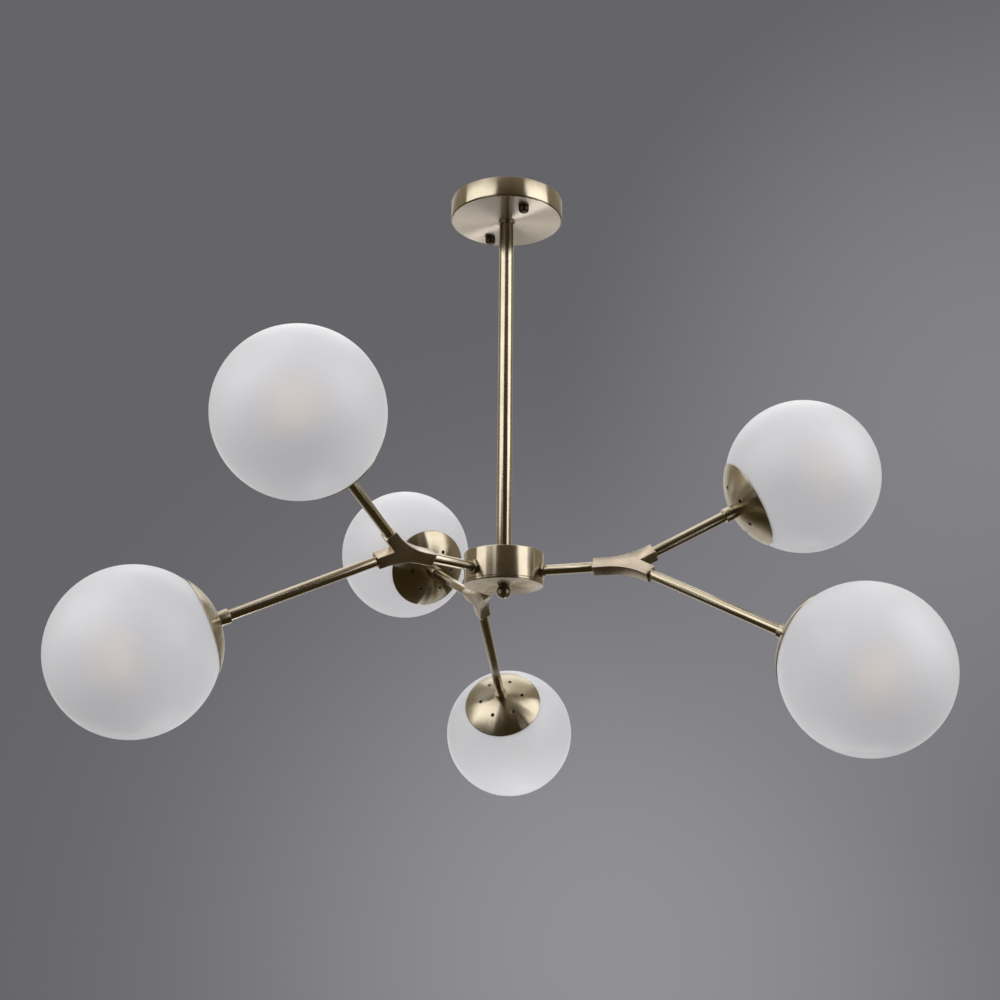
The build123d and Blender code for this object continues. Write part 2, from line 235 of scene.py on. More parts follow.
# %% [markdown]
# ## Backdrop and reflections
# The backdrop is a plain grey with two soft glows. What the metal mirrors is another matter: a pale room
# would wash the brass out, and a black one would make it look like plastic. So rays that come off a
# glossy surface see a room of their own, brown and dim, with a dark floor and front, a pale end behind
# the object and two patches.

# %% Backdrop
GREY_WALL = (0.129, 0.127, 0.137)
RIGHT_GLOW = (0.226, 0.222, 0.240)
LOW_GLOW = (0.283, 0.278, 0.300)
world = bpy.data.worlds.new("studio")
scene.world = world
world.use_nodes = True
sky = world.node_tree
sky.nodes.clear()
ray = node(sky, "TexCoord").outputs["Generated"]


def along(way):
    """How far a ray runs along a direction, from -1 to 1."""
    return vectors(sky, "DOT_PRODUCT", ray, way, result="Value")


def bright_spot(sideways, upwards, reach, fade):
    """How near a ray points to a spot on the backdrop, from 0 at its reach in degrees to 1."""
    way = camera.matrix_world.to_3x3() @ Vector((sideways, upwards, -1)).normalized()
    return sums(sky, "POWER", ramp(sky, along(way), cos(radians(reach)), 1), fade)


on_right = bright_spot(sideways=0.352, upwards=0.072, reach=17.3, fade=1.45)
low_behind = bright_spot(sideways=0.08, upwards=-0.312, reach=31, fade=4.0)
wall = blend(sky, on_right, GREY_WALL, RIGHT_GLOW)
wall = blend(sky, low_behind, wall, LOW_GLOW)
print("backdrop: grey, with soft glows on the right and low behind the object")

# %% What the metal mirrors
ROOM = (0.29, 0.25, 0.18)
DARK_FLOOR = (0.054, 0.040, 0.017)
DARK_FRONT = (0.038, 0.027, 0.011)
PALE_END = (0.63, 0.61, 0.575)
HIGH_PATCH = (1.2, 1.15, 1.08)
LOW_PATCH = (5.0, 4.9, 4.8)
FRONT = 6


def towards(angle, distance, height, low, high):
    """How much a ray points to a place beside the camera, by two readings of how far it runs that way."""
    return ramp(sky, along(beside_camera(angle, distance, height)), low, high)


rise = along((0, 0, 1))
sideways = sums(sky, "ABSOLUTE", along(beside_camera(FRONT + 90, 1, 0)))
narrow = ramp(sky, sideways, low=0.55, high=0.30)
behind = sums(sky, "MULTIPLY", narrow, towards(FRONT, 1, 0, low=-0.10, high=-0.35))
behind = sums(sky, "MULTIPLY", behind, ramp(sky, rise, low=-0.80, high=-0.60))
mirrored = blend(sky, ramp(sky, rise, low=-0.05, high=-0.35), ROOM, DARK_FLOOR)
mirrored = blend(sky, behind, mirrored, PALE_END)
mirrored = blend(sky, towards(FRONT, 0.86, -0.51, low=-0.2, high=0.75), mirrored, DARK_FRONT)
mirrored = blend(sky, towards(-57, 0.35, 0.937, low=0.92, high=0.99), mirrored, HIGH_PATCH)
mirrored = blend(sky, towards(162, 0.688, -0.725, low=0.9925, high=0.9965), mirrored, LOW_PATCH)
print("mirrored room: dark in front and below, pale behind")

# %% What each kind of ray sees
FILL = (0.62, 0.62, 0.63)


def shine(colour):
    """A background of a colour."""
    return node(sky, "Background", Color=colour).outputs["Background"]


def choose(amount, first, second):
    """One background or another."""
    made = node(sky, "MixShader", Fac=amount)
    feed(sky, made.inputs[1], first)
    feed(sky, made.inputs[2], second)
    return made.outputs["Shader"]


path = node(sky, "LightPath").outputs
straight = sums(sky, "MAXIMUM", path["Is Camera Ray"], path["Is Transmission Ray"])
seen = choose(straight, shine(FILL), shine(wall))
seen = choose(path["Is Glossy Ray"], seen, shine(mirrored))
node(sky, "OutputWorld", Surface=seen)
print("studio:", len(sky.nodes), "nodes")

# %% [markdown]
# ## Tools for turned pieces
# Nearly every piece of this lamp was turned on a lathe or spun from sheet: canopy, rod, drum, cups,
# collars, even the glass. So the main tool here is a lathe as well. A pen draws half of the section, the
# spin operator sweeps it round, and a bevel breaks the sharp edges. A stack of ready-made cylinders would
# be quicker, but it would have no rounded rims, and rims are what catch the light on metal.

# %% Drawing and spinning
HERE = Matrix.Identity(4)
NEAR = 1e-5
SAME = 1e-6
FLAT = 0.7


def verts_of(parts):
    """The vertices among the parts that an operator gave back."""
    return [part for part in parts if isinstance(part, bmesh.types.BMVert)]


def draw(shape, tip, spot):
    """Draw a straight line from the tip to a spot."""
    drawn = bmesh.ops.extrude_vert_indiv(shape, verts=[tip])["verts"][0]
    drawn.co = spot
    return drawn


def pen(shape, radius, height):
    """Set the pen down on the half section."""
    return shape.verts.new((radius, 0, height))


def line(shape, tip, radius, height):
    """Draw a straight line on the half section."""
    return draw(shape, tip, (radius, 0, height))


def arc(shape, tip, radius, height, sweep, steps):
    """Draw an arc about a centre on the half section. A positive sweep turns from down to outwards."""
    swung = bmesh.ops.spin(shape, geom=[tip], cent=(radius, 0, height), axis=(0, -1, 0), angle=sweep,
                           steps=steps, use_merge=False, use_duplicate=False)
    return verts_of(swung["geom_last"])[0]


def spin_round(shape, steps):
    """Sweep the drawn section once round Z and face it outwards."""
    bmesh.ops.spin(shape, geom=shape.verts[:] + shape.edges[:], cent=(0, 0, 0), axis=(0, 0, 1),
                   angle=2 * pi, steps=steps, use_merge=True, use_duplicate=False)
    bmesh.ops.remove_doubles(shape, verts=shape.verts, dist=SAME)
    bmesh.ops.recalc_face_normals(shape, faces=shape.faces)


def lathe(steps, *points):
    """Turn a closed section with straight sides, given by its points of radius and height."""
    shape = bmesh.new()
    first = tip = pen(shape, *points[0])
    for point in points[1:]:
        tip = line(shape, tip, *point)
    shape.edges.new((tip, first))
    spin_round(shape, steps)
    return shape


print("pen and lathe ready")


# %% Edges, flutes and blocks
def break_edges(shape, amount, segments=3, angle=40, chosen=None):
    """Bevel the edges that are sharper than an angle, or those of them that a test picks."""
    sharp = [edge for edge in shape.edges if edge.is_manifold and edge.calc_face_angle(0) > radians(angle)]
    if chosen:
        sharp = [edge for edge in sharp if chosen(*(vert.co for vert in edge.verts))]
    bmesh.ops.bevel(shape, geom=sharp, offset=amount, segments=segments, profile=0.5, affect="EDGES",
                    material=-1, clamp_overlap=True)


def flute(shape, ridges, radius, share, below=inf):
    """Push every other column of a spun side in, to a share of its radius."""
    for vert in shape.verts:
        column = round(atan2(vert.co.y, vert.co.x) / (2 * pi) * 2 * ridges)
        if column % 2 and vert.co.xy.length > radius - NEAR and vert.co.z < below:
            vert.co.xy *= share


def pull_up(shape, height):
    """Pull the drawn faces up into a block."""
    pulled = bmesh.ops.extrude_face_region(shape, geom=shape.faces[:], use_keep_orig=True)["geom"]
    bmesh.ops.translate(shape, vec=(0, 0, height), verts=verts_of(pulled))
    bmesh.ops.recalc_face_normals(shape, faces=shape.faces)


def wrap(shape):
    """Give the surface a map: U once round the axis, V along the section in metres."""
    around = shape.loops.layers.uv.new("around")
    for face in shape.faces:
        flat = abs(face.normal.z) > FLAT
        turns = {}
        for loop in face.loops:
            spot = loop.vert.co
            turns[loop] = atan2(spot.y, spot.x) / (2 * pi) if spot.xy.length > SAME else None
        known = [turn for turn in turns.values() if turn is not None]
        for loop, turn in turns.items():
            if turn is None:
                turn = sum(known) / len(known)
            elif max(known) - turn > 0.5:
                turn += 1
            loop[around].uv = (turn, loop.vert.co.xy.length if flat else loop.vert.co.z)


def turned_ring(inner, outer, low, high, edge, steps=96, segments=3):
    """A tube or ring with its outer edges broken."""
    shape = lathe(steps, (inner, low), (outer, low), (outer, high), (inner, high))
    break_edges(shape, edge, segments, chosen=lambda a, b: min(a.xy.length, b.xy.length) > outer - NEAR)
    wrap(shape)
    return shape


print("edge tools ready")


# %% From shapes to pieces
def add_to(shape, extra, place=HERE):
    """Move one working shape into another, at a place."""
    spare = bpy.data.meshes.new("spare")
    extra.to_mesh(spare)
    extra.free()
    spare.transform(place)
    shape.from_mesh(spare)
    bpy.data.meshes.remove(spare)


def mesh_from(shape, name, smooth=35):
    """Turn the working shape into a mesh with smooth curves and crisp edges."""
    mesh = bpy.data.meshes.new(name)
    shape.to_mesh(mesh)
    shape.free()
    mesh.shade_smooth()
    mesh.set_sharp_from_angle(angle=radians(smooth))
    return mesh


def hang(name, mesh, replaced, finish, place=HERE, body="frame", slot="antique_brass"):
    """Put a copy of a mesh in its place on a body, in the stead of a solid node."""
    placed = mesh.copy()
    placed.name = name
    placed.transform(place)
    placed.materials.clear()
    placed.materials.append(finish)
    piece = bpy.data.objects.new(name, placed)
    scene.collection.objects.link(piece)
    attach(piece, body)
    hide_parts(replaced)
    return piece


def hang_shape(name, shape, replaced, finish, **where):
    """Put a working shape in its place, in the stead of a solid node."""
    return hang(name, mesh_from(shape, name), replaced, finish, **where)


print("piece tools ready")

# %% [markdown]
# ## Aged brass
# The metal is brass with a satin, brushed finish: pale gold where a soft box shines on it, olive brown
# where it meets the dark. Each piece was polished while it turned, so the scratches run round the axis
# and pull every highlight out into a fan. Painting the fan would fix it to one view. Here the shader's
# anisotropy makes it, led by a tangent along the map's U, and a grain of the same direction roughens and
# scores the surface.

# %% Turned grain, shared by the metals
def new_group(name, takes, gives):
    """A shader node group, what it is given and the results that it gives back."""
    group = bpy.data.node_groups.new(name, "ShaderNodeTree")
    for way, sockets in (("INPUT", takes), ("OUTPUT", gives)):
        for label, kind in sockets.items():
            group.interface.new_socket(label, in_out=way, socket_type="NodeSocket" + kind)
    return group, group.nodes.new("NodeGroupInput").outputs, group.nodes.new("NodeGroupOutput").inputs


def round_way(tree):
    """The direction round the axis, by the map."""
    made = node(tree, "Tangent")
    made.direction_type = "UV_MAP"
    made.uv_map = "around"
    return made.outputs["Tangent"]


grain, given, result = new_group(
    "turned_grain",
    {"Map": "Vector", "Lines": "Float", "Tilt": "Float", "Smooth": "Float", "Rough": "Float"},
    {"Normal": "Vector", "Roughness": "Float"},
)
parts = node(grain, "SeparateXYZ", Vector=given["Map"]).outputs
turned = sums(grain, "MULTIPLY", parts["X"], 2 * pi)
ring = node(grain, "CombineXYZ", X=sums(grain, "COSINE", turned), Y=sums(grain, "SINE", turned),
            Z=sums(grain, "MULTIPLY", parts["Y"], given["Lines"]))
scratches = node(grain, "TexNoise", Vector=ring.outputs["Vector"], Scale=1.6, Detail=4.0, Roughness=0.6)
scratch = scratches.outputs["Fac"]
print("scratches run round each piece")

# %% From scratches to a tilted normal
DEEPEN = 6.0
deep = sums(grain, "MULTIPLY", sums(grain, "SUBTRACT", scratch, 0.5), DEEPEN)
cubed = sums(grain, "MULTIPLY", sums(grain, "MULTIPLY", deep, deep), deep)
lean = sums(grain, "MULTIPLY", cubed, given["Tilt"])
upright = node(grain, "NewGeometry").outputs["Normal"]
across = vectors(grain, "CROSS_PRODUCT", upright, round_way(grain))
push = vectors(grain, "SCALE", across, lean)
feed(grain, result["Normal"], vectors(grain, "NORMALIZE", vectors(grain, "ADD", upright, push)))
feed(grain, result["Roughness"], ramp(grain, scratch, 0.3, 0.7, given["Smooth"], given["Rough"]))
print("group:", grain.name, len(grain.nodes), "nodes")

# %% Tarnish, shared by the metals
tarnish, given, result = new_group(
    "tarnish",
    {"Place": "Vector", "Clean": "Color", "Aged": "Color", "Amount": "Float"},
    {"Color": "Color"},
)
cloud = node(tarnish, "TexNoise", Vector=given["Place"], Scale=38.0, Detail=6.0, Roughness=0.6)
share = sums(tarnish, "MULTIPLY", ramp(tarnish, cloud.outputs["Fac"], 0.38, 0.72), given["Amount"])
feed(tarnish, result["Color"], blend(tarnish, share, given["Clean"], given["Aged"]))
print("group:", tarnish.name, len(tarnish.nodes), "nodes")

# %% Metals
CLEAN_BRASS = (0.555, 0.498, 0.39)
AGED_BRASS = (0.42, 0.357, 0.255)
QUARTER_TURN = 0.25


def metal(name, clean, aged, amount, smooth, rough, tilt, lines=5200.0, stretch=0.6):
    """A brushed metal whose scratches run round the piece's axis."""
    material, tree = new_material(name)
    place = node(tree, "TexCoord").outputs["Object"]
    colour = node(tree, "Group", tarnish, Place=place, Clean=clean, Aged=aged, Amount=amount)
    turned = node(tree, "UVMap")
    turned.uv_map = "around"
    score = node(tree, "Group", grain, Map=turned.outputs["UV"], Lines=lines, Tilt=tilt, Smooth=smooth,
                 Rough=rough)
    surface(tree, Base_Color=colour.outputs["Color"], Metallic=1.0, Roughness=score.outputs["Roughness"],
            Normal=score.outputs["Normal"], Anisotropic=stretch, Anisotropic_Rotation=QUARTER_TURN,
            Tangent=round_way(tree))
    return material


brass = metal("aged_brass", CLEAN_BRASS, AGED_BRASS, amount=0.7, smooth=0.19, rough=0.25, tilt=0.05,
              stretch=0.93)
tube_brass = metal("tube_brass", CLEAN_BRASS, AGED_BRASS, amount=0.6, smooth=0.16, rough=0.21, tilt=0.0,
                   lines=500, stretch=0.2)
cup_brass = metal("cup_brass", CLEAN_BRASS, (0.43, 0.365, 0.26), amount=0.7, smooth=0.19, rough=0.25,
                  tilt=0.03, stretch=0.95)
# The canopy's flat underside: its grain and roughness are its own, but its paler colour is painted light
# that brightens the face.
painted_light_face_brass = metal("brushed_face_brass_painted_light", (0.82, 0.75, 0.66), (0.72, 0.64, 0.54), amount=0.5, smooth=0.31,
                   rough=0.37, tilt=0.06, stretch=1.0)
# Dark bronze is the cap nuts' own colour. Inside the cups the same bronze is painted shade.
bronze_and_painted_shade = metal("dark_bronze", (0.10, 0.078, 0.05), (0.06, 0.047, 0.03), amount=0.6, smooth=0.22, rough=0.34,
               tilt=0.05)
print("metals:", brass.name, tube_brass.name, cup_brass.name, painted_light_face_brass.name, bronze_and_painted_shade.name)

# %% [markdown]
# ## Canopy, collar and rod
# The canopy is a shallow cup that hides the ceiling bracket. It was spun from sheet, so its rim has a
# round edge and its wall is thin, and it is open at the top. The collar is a small ring with a rounded
# foot, and the rod is a tube. Each is one section, drawn with the pen and swept round.

# %% Canopy
CANOPY_R = 0.059
CANOPY_H = 0.0215
CANOPY_EDGE = 0.002
SHEET = 0.0012
SHEET_EDGE = 0.0003
PIPE_HOLE = 0.0053
FACE_DOWN = -0.98
FACE_NEAR = 1e-4
CANOPY_STEPS = 160


def paint_face_paler(piece, finish, height):
    """Give the flat face that looks down at a height a finish of its own: a paler brass, which paints light
    onto the face.
    """
    piece.data.materials.append(finish)
    for face in piece.data.polygons:
        if face.normal.z < FACE_DOWN and abs(face.center.z - height) < FACE_NEAR:
            face.material_index = 1


inner_r = CANOPY_R - SHEET
sheet_z = SHEET - CANOPY_H
shape = lathe(CANOPY_STEPS, (PIPE_HOLE, -CANOPY_H), (CANOPY_R, -CANOPY_H), (CANOPY_R, 0), (inner_r, 0),
              (inner_r, sheet_z), (PIPE_HOLE, sheet_z))
break_edges(shape, CANOPY_EDGE, segments=6,
            chosen=lambda a, b: min(a.xy.length, b.xy.length) > CANOPY_R - NEAR and a.z < -CANOPY_H / 2)
break_edges(shape, SHEET_EDGE, segments=2, chosen=lambda a, b: a.z > -CANOPY_H / 2)
wrap(shape)
canopy = hang_shape("canopy_shell", shape, "canopy", brass)
# The underside gets the paler brass, painted light on that face.
paint_face_paler(canopy, painted_light_face_brass, -CANOPY_H)
print(canopy.name, len(canopy.data.polygons), "faces")

# %% Collar and rod
RING_R = 0.009
RING_H = 0.003
RING_EDGE = 0.0008
ROD_R = 0.0075
ROD_WALL = 0.0012
ROD_DROP = 0.3645
TUBE_EDGE = 0.0002
ROD_TOP = -CANOPY_H - RING_H
HUB_TOP = -CANOPY_H - ROD_DROP
shape = turned_ring(PIPE_HOLE, RING_R, ROD_TOP, -CANOPY_H, RING_EDGE, segments=4)
hang_shape("collar_ring", shape, "canopy_collar", brass)
shape = turned_ring(ROD_R - ROD_WALL, ROD_R, HUB_TOP, ROD_TOP, TUBE_EDGE)
hang_shape("rod_tube", shape, "down_rod", tube_brass)
print("rod from", round(ROD_TOP, 4), "to", round(HUB_TOP, 4))

# %% [markdown]
# ## Cap nuts
# Two dark domed nuts hold the canopy up. Their sides are lightly fluted for the fingers. The flutes could
# be cut one by one, but pushing every other column of the spun side inwards by a hair gives the same
# ripple.

# %% Cap nuts
STUD_SPAN = 0.082
NUT_HOLE = 0.00205
NUT_R = 0.0054
NUT_H = 0.008
NUT_DOME = 0.0035
NUT_EDGE = 0.0004
PLAIN_H = 0.0016
FLUTES = 24
FLUTE_SHARE = 0.965
dome_z = -CANOPY_H - NUT_H + NUT_DOME
shape = bmesh.new()
tip = pen(shape, NUT_HOLE, -CANOPY_H)
tip = line(shape, tip, NUT_R - NUT_EDGE, -CANOPY_H)
tip = line(shape, tip, NUT_R, -CANOPY_H - NUT_EDGE)
tip = line(shape, tip, NUT_R, -CANOPY_H - PLAIN_H)
tip = line(shape, tip, NUT_R, dome_z)
tip = arc(shape, tip, NUT_R - NUT_DOME, dome_z, -pi / 2, steps=8)
line(shape, tip, 0, -CANOPY_H - NUT_H)
spin_round(shape, 2 * FLUTES)
flute(shape, FLUTES, NUT_R, FLUTE_SHARE, below=-CANOPY_H - (NUT_EDGE + PLAIN_H) / 2)
wrap(shape)
bmesh.ops.translate(shape, vec=(0, STUD_SPAN / 2, 0), verts=shape.verts)
second = bmesh.ops.duplicate(shape, geom=shape.verts[:] + shape.edges[:] + shape.faces[:])["geom"]
bmesh.ops.translate(shape, vec=(0, -STUD_SPAN, 0), verts=verts_of(second))
hang_shape("domed_nuts", shape, "canopy_cap_nuts", bronze_and_painted_shade, slot="dark_bronze")
print("domed nuts", STUD_SPAN, "m apart")

# %% [markdown]
# ## Hub
# The hub is a drum with a shallow lid below it, and a fine seam shows where they meet. The lid is held by
# a ball that screws onto the pipe's end. Drum and lid are drawn as two sections, so the seam is a real
# gap between two broken edges and needs no drawn line.

# %% Drum and lid
HUB_R = 0.0395
HUB_H = 0.033
HUB_WALL = 0.0015
HUB_EDGE = 0.001
LID_H = 0.003
LID_EDGE = 0.0012
SEAM = 0.0004
SPIGOT_GAP = 0.0002
SPIGOT_WALL = 0.0013
SPIGOT_H = 0.003
HUB_STEPS = 144
HUB_BOTTOM = HUB_TOP - HUB_H
SEAM_Z = HUB_BOTTOM + LID_H
bore_r = HUB_R - HUB_WALL
roof_z = HUB_TOP - HUB_WALL
shape = lathe(HUB_STEPS, (PIPE_HOLE, HUB_TOP), (HUB_R, HUB_TOP), (HUB_R, SEAM_Z + SEAM),
              (HUB_R - SEAM, SEAM_Z), (bore_r, SEAM_Z), (bore_r, roof_z), (PIPE_HOLE, roof_z))
break_edges(shape, HUB_EDGE, segments=4,
            chosen=lambda a, b: a.xy.length > HUB_R - NEAR and a.z > HUB_TOP - NEAR)
wrap(shape)
hang_shape("drum_shell", shape, "hub_drum", brass)
spigot_r = bore_r - SPIGOT_GAP
dish_r = spigot_r - SPIGOT_WALL
dish_z = HUB_BOTTOM + HUB_WALL
shape = lathe(HUB_STEPS, (PIPE_HOLE, HUB_BOTTOM), (HUB_R, HUB_BOTTOM), (HUB_R, SEAM_Z - SEAM),
              (HUB_R - SEAM, SEAM_Z), (spigot_r, SEAM_Z), (spigot_r, SEAM_Z + SPIGOT_H),
              (dish_r, SEAM_Z + SPIGOT_H), (dish_r, dish_z), (PIPE_HOLE, dish_z))
break_edges(shape, LID_EDGE, segments=5,
            chosen=lambda a, b: a.xy.length > HUB_R - NEAR and a.z < HUB_BOTTOM + NEAR)
wrap(shape)
hang_shape("lid_shell", shape, "hub_cover", brass)
print("hub from", round(HUB_TOP, 4), "to", round(HUB_BOTTOM, 4))

# %% Ball under the hub
BALL_R = 0.0072
BALL_DROP = 0.0055
BALL_STEPS = 72
BALL_Z = HUB_BOTTOM - BALL_DROP
shape = bmesh.new()
tip = pen(shape, 0, BALL_Z - BALL_R)
tip = arc(shape, tip, 0, BALL_Z, pi / 2 + asin(BALL_DROP / BALL_R), steps=28)
line(shape, tip, 0, HUB_BOTTOM)
spin_round(shape, BALL_STEPS)
wrap(shape)
hang_shape("ball_finial", shape, "finial", brass)
print("ball's lowest point", round(BALL_Z - BALL_R, 4))

# %% [markdown]
# ## Where the branches are
# Each branch turns about its hub arm, and each globe turns about its own arm, so the joints already hold
# every axis that the next pieces need. Reading them from the model keeps the pieces on it, whatever the
# angles are.

# %% Places of the branches and lamps
SIDES = ("right", "left", "rear")
LEVELS = ("upper", "lower")
branch_place = {}
lamp_place = {}
arm_reach = {}


def stand(origin, x_axis, z_axis):
    """A place with its own X and Z directions."""
    turned = Matrix((x_axis, z_axis.cross(x_axis), z_axis)).transposed().to_4x4()
    return Matrix.Translation(origin) @ turned


def hang_on_lamps(ending, mesh, replaced, finish, loose=False, levels=LEVELS, slot="antique_brass"):
    """Hang a mesh on every lamp of some levels. A loose piece rides on its globe, others on the branch."""
    pieces = []
    for (side, level), place in lamp_place.items():
        if level in levels:
            here = side + "_" + level
            body = here + "_globe" if loose else side + "_branch"
            pieces.append(hang(here + ending, mesh, here + replaced, finish, place, body, slot))
    return pieces


for side in SIDES:
    twist = joints[side + "_branch_twist"]
    middle, outwards = Vector(twist["pos_m"]), Vector(twist["axis"]).normalized()
    turns = {level: joints[side + "_" + level + "_globe_turn"] for level in LEVELS}
    ways = {level: Vector(turns[level]["axis"]).normalized() for level in LEVELS}
    square = ways["lower"].cross(ways["upper"]).normalized()
    branch_place[side] = stand(middle, outwards, square)
    for level in LEVELS:
        centre = Vector(turns[level]["pos_m"])
        lamp_place[side, level] = stand(centre, square, ways[level])
        arm_reach[level] = (centre - middle).length
FORK_REACH = Vector(joints["right_branch_twist"]["pos_m"]).xy.length
FORK_ANGLE = outwards.angle(ways["upper"])
print("fork at", round(FORK_REACH, 4), "arms", [round(reach, 4) for reach in arm_reach.values()])

# %% [markdown]
# ## Hub arms and their nuts
# Three thin tubes leave the drum, and a flat hexagon nut locks each of them on both sides of the wall. A
# nut starts from a circle of six segments, which is bored, pulled up into a block, and beveled on its
# corners.

# %% Hub arms
ARM_R = 0.005
ARM_WALL = 0.0012
HEX_FLATS = 0.013
HEX_H = 0.003
BEHIND_NUT = 0.001
FORK_INLET = 0.036
INLET_DEPTH = 0.016
END_GAP = 0.0005
TUBE_STEPS = 64
INNER_NUT = sqrt(bore_r**2 - HEX_FLATS**2 / 3) - HEX_H
hub_arm_end = FORK_REACH - FORK_INLET + INLET_DEPTH - END_GAP
tube = turned_ring(ARM_R - ARM_WALL, ARM_R, INNER_NUT - BEHIND_NUT, hub_arm_end, TUBE_EDGE, TUBE_STEPS)
hub_tube = mesh_from(tube, "hub_tube")
hub_level = joints["right_branch_twist"]["pos_m"][2]
out_place = {}
for side in SIDES:
    outwards = branch_place[side].to_3x3() @ Vector((1, 0, 0))
    out_place[side] = stand(Vector((0, 0, hub_level)), Vector((0, 0, 1)), outwards)
    hang(side + "_hub_tube", hub_tube, side + "_hub_arm", tube_brass, out_place[side])
print("hub arms at", round(hub_level, 4))

# %% Hexagon nuts
THREAD_GAP = 0.00005
HEX_EDGE = 0.0004
ARM_HOLE = ARM_R + THREAD_GAP


def hex_nut(flats, bore, low, high):
    """A bored hexagon block with rounded corners."""
    block = bmesh.new()
    bmesh.ops.create_circle(block, cap_ends=False, segments=6, radius=flats / sqrt(3))
    rim = block.edges[:]
    hole = bmesh.ops.create_circle(block, cap_ends=False, segments=48, radius=bore)["verts"]
    inner = [edge for edge in block.edges if all(vert in hole for vert in edge.verts)]
    bmesh.ops.bridge_loops(block, edges=rim + inner)
    bmesh.ops.translate(block, vec=(0, 0, low), verts=block.verts)
    pull_up(block, high - low)
    break_edges(block, HEX_EDGE, segments=2, angle=50,
                chosen=lambda a, b: min(a.xy.length, b.xy.length) > flats / 2 - NEAR)
    wrap(block)
    return block


shape = bmesh.new()
for side in SIDES:
    for low in (INNER_NUT, HUB_R):
        add_to(shape, hex_nut(HEX_FLATS, ARM_HOLE, low, low + HEX_H), out_place[side])
hang_shape("hub_nuts", shape, "hub_arm_nuts", brass)
print("hub nuts:", 2 * len(SIDES))

# %% [markdown]
# ## Forks
# A fork is a flat casting with three square ends. Its outer sides sweep out in a long hollow curve, and a
# sharp V parts its two prongs. Only one side of the outline is drawn: a mirror makes the other, the face
# is filled and pulled up to its thickness, and a fine bevel runs round both faces, as filing leaves it.

# %% Fork
FORK_W = 0.0125
FORK_OUTLET = 0.027
FORK_EDGE = 0.0006
FLARE_R = 0.070
half_w = FORK_W / 2
prong = Vector((cos(FORK_ANGLE), sin(FORK_ANGLE), 0))
over = Vector((-prong.y, prong.x, 0))
flare_start = -(half_w + FLARE_R) * tan(FORK_ANGLE / 2)
shape = bmesh.new()
tip = shape.verts.new((-FORK_INLET, 0, 0))
tip = draw(shape, tip, (-FORK_INLET, half_w, 0))
tip = draw(shape, tip, (flare_start, half_w, 0))
swung = bmesh.ops.spin(shape, geom=[tip], cent=(flare_start, half_w + FLARE_R, 0), axis=(0, 0, 1),
                       angle=FORK_ANGLE, steps=14, use_merge=False, use_duplicate=False)
tip = verts_of(swung["geom_last"])[0]
tip = draw(shape, tip, prong * FORK_OUTLET + over * half_w)
tip = draw(shape, tip, prong * FORK_OUTLET - over * half_w)
draw(shape, tip, (half_w / prong.y, 0, 0))
bmesh.ops.mirror(shape, geom=shape.verts[:] + shape.edges[:], matrix=HERE, merge_dist=SAME, axis="Y")
bmesh.ops.remove_doubles(shape, verts=shape.verts, dist=SAME)
bmesh.ops.contextual_create(shape, geom=shape.edges[:])
bmesh.ops.translate(shape, vec=(0, 0, -half_w), verts=shape.verts)
pull_up(shape, FORK_W)
break_edges(shape, FORK_EDGE, angle=30)
length_map = shape.loops.layers.uv.new("around")
for face in shape.faces:
    for loop in face.loops:
        spot = loop.vert.co
        loop[length_map].uv = (spot.x * 2, spot.y if abs(face.normal.z) > FLAT else spot.z)
fork_mesh = mesh_from(shape, "fork", smooth=30)
print("fork:", len(fork_mesh.polygons), "faces")

# %% Cast brass
cast_brass, tree = new_material("cast_brass")
place = node(tree, "TexCoord").outputs["Object"]
colour = node(tree, "Group", tarnish, Place=place, Clean=(0.62, 0.545, 0.45), Aged=(0.46, 0.385, 0.305),
              Amount=0.7)
pits = node(tree, "TexNoise", Vector=place, Scale=90.0, Detail=2.0).outputs["Fac"]
relief = node(tree, "Bump", Strength=0.10, Distance=0.0003, Height=pits)
wear = ramp(tree, pits, 0.3, 0.7, start=0.26, end=0.34)
surface(tree, Base_Color=colour.outputs["Color"], Metallic=1.0, Roughness=wear,
        Normal=relief.outputs["Normal"])
for side in SIDES:
    hang(side + "_fork_casting", fork_mesh, side + "_fork", cast_brass, branch_place[side], side + "_branch")
print("forks:", len(SIDES), "of", cast_brass.name)

# %% [markdown]
# ## Arms and collars
# From each prong a tube runs straight to its cup, and a short collar locks the cup on it. The upper arms
# are shorter than the lower ones, which is what staggers the globes.

# %% Arms and collars
GLOBE_R = 0.075
GLASS_GAP = 0.0005
CUP_RIM_R = 0.0445
CUP_DEPTH = 0.0168
COLLAR_R = 0.007
COLLAR_H = 0.010
COLLAR_EDGE = 0.0004
OUTLET_DEPTH = 0.014
FOOT_R = 0.010
ENTRY_H = 0.008
RIM_Z = -sqrt(GLOBE_R**2 - (CUP_RIM_R - SHEET) ** 2) - GLASS_GAP
APEX_Z = RIM_Z - CUP_DEPTH
CAP_R = (CUP_RIM_R**2 + CUP_DEPTH**2) / (2 * CUP_DEPTH)
CAP_Z = APEX_Z + CAP_R
HOLDER_Z = CAP_Z - sqrt((CAP_R - SHEET) ** 2 - FOOT_R**2)
arm_end = HOLDER_Z + ENTRY_H - END_GAP
for level in LEVELS:
    arm_start = FORK_OUTLET - OUTLET_DEPTH + END_GAP - arm_reach[level]
    tube = turned_ring(ARM_R - ARM_WALL, ARM_R, arm_start, arm_end, TUBE_EDGE, TUBE_STEPS)
    hang_on_lamps("_tube", mesh_from(tube, level + "_tube"), "_arm", tube_brass, levels=[level])
for side in SIDES:
    shape = bmesh.new()
    for level in LEVELS:
        collar = turned_ring(ARM_HOLE, COLLAR_R, APEX_Z - COLLAR_H, APEX_Z, COLLAR_EDGE, TUBE_STEPS)
        add_to(shape, collar, lamp_place[side, level])
    hang_shape(side + "_collars", shape, side + "_cup_collars", brass, body=side + "_branch")
print("arms and collars:", len(lamp_place))

